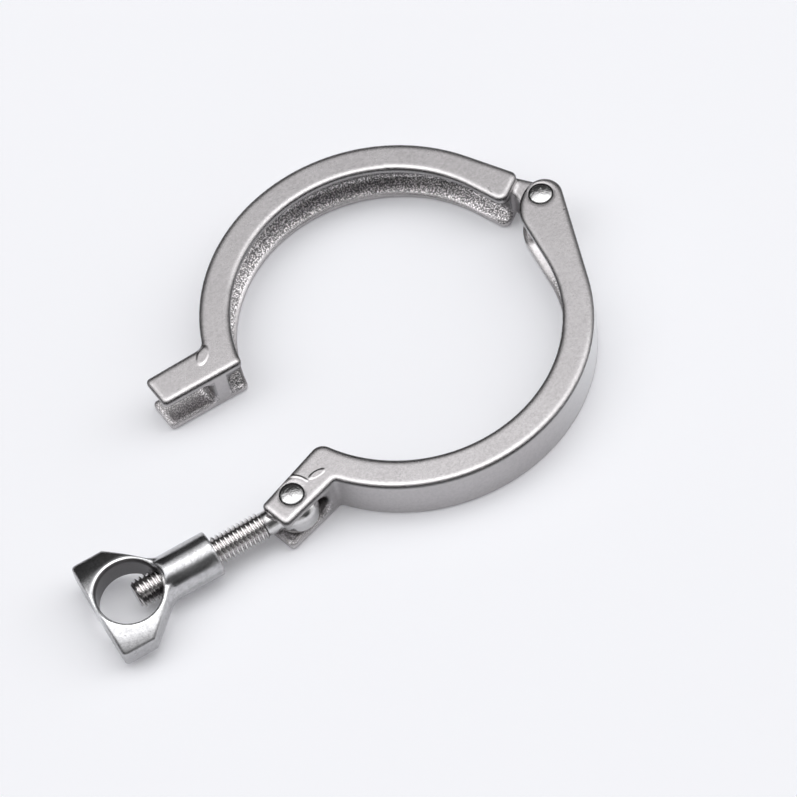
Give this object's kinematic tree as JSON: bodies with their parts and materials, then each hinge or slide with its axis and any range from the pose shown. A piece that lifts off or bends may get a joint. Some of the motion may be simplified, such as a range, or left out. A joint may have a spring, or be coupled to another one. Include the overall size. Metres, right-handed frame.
{
  "type": "sanitary hinged clamp",
  "caption": "Hinged clamp with a grooved ring for sanitary ferrules, closed by a swing bolt and a wing nut.",
  "frame": {"origin": "centre of the bolt jaw's ring, half way through its thickness", "axes": "+Z along the ring's axis, +X to the hinge pin, the bolt jaw on the -Y side; it lies flat, as stored"},
  "size_m": [0.1743, 0.109, 0.0145],
  "materials": {
    "jaw_casting": "cast stainless steel, tumbled",
    "nut_casting": "cast stainless steel, polished edges",
    "pin_steel": "drawn stainless steel, peened head",
    "bolt_steel": "machined stainless steel thread"
  },
  "bodies": {
    "bolt_jaw": {"bolt_jaw": "jaw_casting", "hinge_pin": "pin_steel", "bolt_pin": "pin_steel"},
    "slotted_jaw": {"slotted_jaw": "jaw_casting"},
    "swing_bolt": {"eye_bolt": "bolt_steel"},
    "wing_nut": {"wing_nut": "nut_casting"}
  },
  "joints": [
    {"name": "jaw_hinge", "type": "hinge", "parent": "bolt_jaw", "child": "slotted_jaw", "pos_m": [0.0526, 0, 0], "axis": [0, 0, -1], "range_deg": [-20, 162]},
    {"name": "bolt_swing", "type": "hinge", "parent": "bolt_jaw", "child": "swing_bolt", "pos_m": [-0.0564, -0.0126, 0], "axis": [0, 0, 1], "range_deg": [-55, 127]},
    {"name": "nut_travel", "type": "slide", "parent": "swing_bolt", "child": "wing_nut", "axis": [-0.9563, 0.2924, 0], "range_m": [-0.008, 0.014]}
  ]
}
